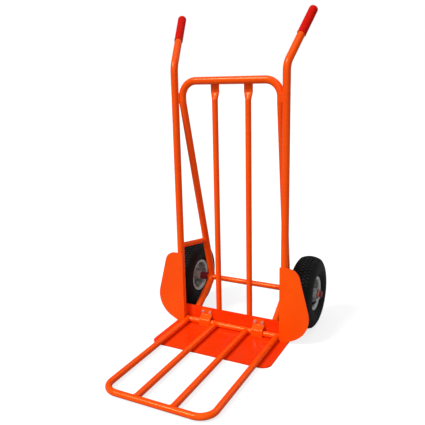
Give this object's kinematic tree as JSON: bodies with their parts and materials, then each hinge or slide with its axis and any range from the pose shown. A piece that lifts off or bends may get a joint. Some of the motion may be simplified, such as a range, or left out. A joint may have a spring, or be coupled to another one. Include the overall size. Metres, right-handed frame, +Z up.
{
  "type": "folding hand truck",
  "caption": "Upright tubular hand truck with a toe plate, a folding load fork, angled handles and pneumatic wheels.",
  "frame": {"origin": "on the floor, on the toe plate's underside, midway between the uprights and in the plane of their axes", "axes": "+Z up the uprights, -Y forward along the toe plate and the lowered fork, +X to the right along the axle"},
  "size_m": [0.5772, 0.807, 1.0958],
  "materials": {
    "frame_paint": "gloss orange powder coat",
    "fork_paint": "gloss orange powder coat",
    "guard_paint": "gloss orange powder coat on flat plate",
    "plate_paint": "gloss orange powder coat, slightly scuffed",
    "grip_rubber": "ribbed red rubber",
    "tyre_rubber": "black tread rubber",
    "tube_rubber": "black butyl rubber",
    "rim_steel": "zinc plated pressed steel",
    "hub_steel": "bright steel",
    "zinc_hardware": "zinc plated",
    "bearing_plastic": "dark red nylon",
    "valve_plastic": "black plastic"
  },
  "bodies": {
    "root": {"hoop_brace": "frame_paint", "toe_plate": "plate_paint", "axle": "frame_paint", "upright_left": "frame_paint", "upright_right": "frame_paint", "grip_left": "grip_rubber", "grip_right": "grip_rubber", "frame_bar_left": "frame_paint", "frame_bar_right": "frame_paint", "side_strut_left": "frame_paint", "side_strut_right": "frame_paint", "wheel_guard_left": "guard_paint", "wheel_guard_right": "guard_paint", "hinge_bracket_left": "frame_paint", "hinge_bracket_right": "frame_paint", "hinge_bolts_left": "zinc_hardware", "hinge_bolts_right": "zinc_hardware", "hinge_nuts_left": "zinc_hardware", "hinge_nuts_right": "zinc_hardware", "axle_spacer_left": "bearing_plastic", "axle_spacer_right": "bearing_plastic", "axle_washer_left": "zinc_hardware", "axle_washer_right": "zinc_hardware", "split_pin_left": "zinc_hardware", "split_pin_right": "zinc_hardware", "axle_cap_left": "bearing_plastic", "axle_cap_right": "bearing_plastic"},
    "fork": {"fork_loop": "fork_paint", "fork_crossbar": "fork_paint", "fork_bar_left": "fork_paint", "fork_bar_right": "fork_paint"},
    "wheel_left": {"tyre_left": "tyre_rubber", "inner_tube_left": "tube_rubber", "rim_outer_left": "rim_steel", "rim_inner_left": "rim_steel", "rim_bolts_left": "zinc_hardware", "rim_nuts_left": "zinc_hardware", "hub_left": "hub_steel", "bearing_cages_left": "bearing_plastic", "bearing_rollers_left": "hub_steel", "valve_stem_left": "tube_rubber", "valve_cap_left": "valve_plastic"},
    "wheel_right": {"tyre_right": "tyre_rubber", "inner_tube_right": "tube_rubber", "rim_outer_right": "rim_steel", "rim_inner_right": "rim_steel", "rim_bolts_right": "zinc_hardware", "rim_nuts_right": "zinc_hardware", "hub_right": "hub_steel", "bearing_cages_right": "bearing_plastic", "bearing_rollers_right": "hub_steel", "valve_stem_right": "tube_rubber", "valve_cap_right": "valve_plastic"}
  },
  "joints": [
    {"name": "fork_fold", "type": "hinge", "parent": "root", "child": "fork", "pos_m": [0, -0.0015, 0.0143], "axis": [-1, 0, 0], "range_deg": [0, 90]},
    {"name": "wheel_left_spin", "type": "hinge", "parent": "root", "child": "wheel_left", "pos_m": [-0.233, 0.15, 0.13], "axis": [1, 0, 0], "continuous": true},
    {"name": "wheel_right_spin", "type": "hinge", "parent": "root", "child": "wheel_right", "pos_m": [0.233, 0.15, 0.13], "axis": [1, 0, 0], "continuous": true}
  ]
}
